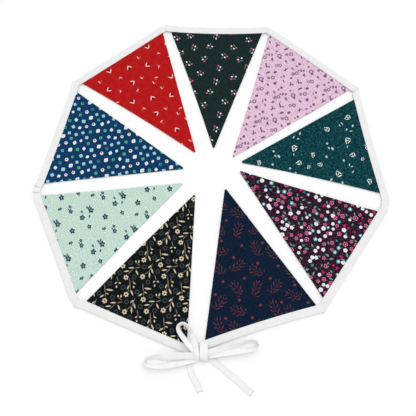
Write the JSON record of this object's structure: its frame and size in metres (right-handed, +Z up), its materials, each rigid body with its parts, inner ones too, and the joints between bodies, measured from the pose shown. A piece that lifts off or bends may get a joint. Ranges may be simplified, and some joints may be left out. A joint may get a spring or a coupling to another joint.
{
  "type": "fabric bunting",
  "caption": "Cloth bunting laid flat in a ring: triangular printed flags bound along one folded white tape whose free ends are tied in a bow.",
  "frame": {"origin": "under the middle of the whole outline, on the surface that it lies on", "axes": "+Z up from the surface, -Y towards the bow, +X to the right seen from above with the bow at the bottom"},
  "size_m": [0.5306, 0.5656, 0.0104],
  "materials": {
    "print_black": "matt printed cotton",
    "print_mint": "matt printed cotton",
    "print_blue": "matt printed cotton",
    "print_red": "matt printed cotton",
    "print_green": "matt printed cotton",
    "print_pink": "matt printed cotton",
    "print_teal": "matt printed cotton",
    "print_plum": "matt printed cotton",
    "print_navy": "matt printed cotton",
    "tape": "matt white cotton tape"
  },
  "bodies": {
    "root": {"flag_black": "print_black", "flag_mint": "print_mint", "flag_blue": "print_blue", "flag_red": "print_red", "flag_green": "print_green", "flag_pink": "print_pink", "flag_teal": "print_teal", "flag_plum": "print_plum", "flag_navy": "print_navy", "binding": "tape", "tie_bow": "tape"}
  },
  "joints": []
}
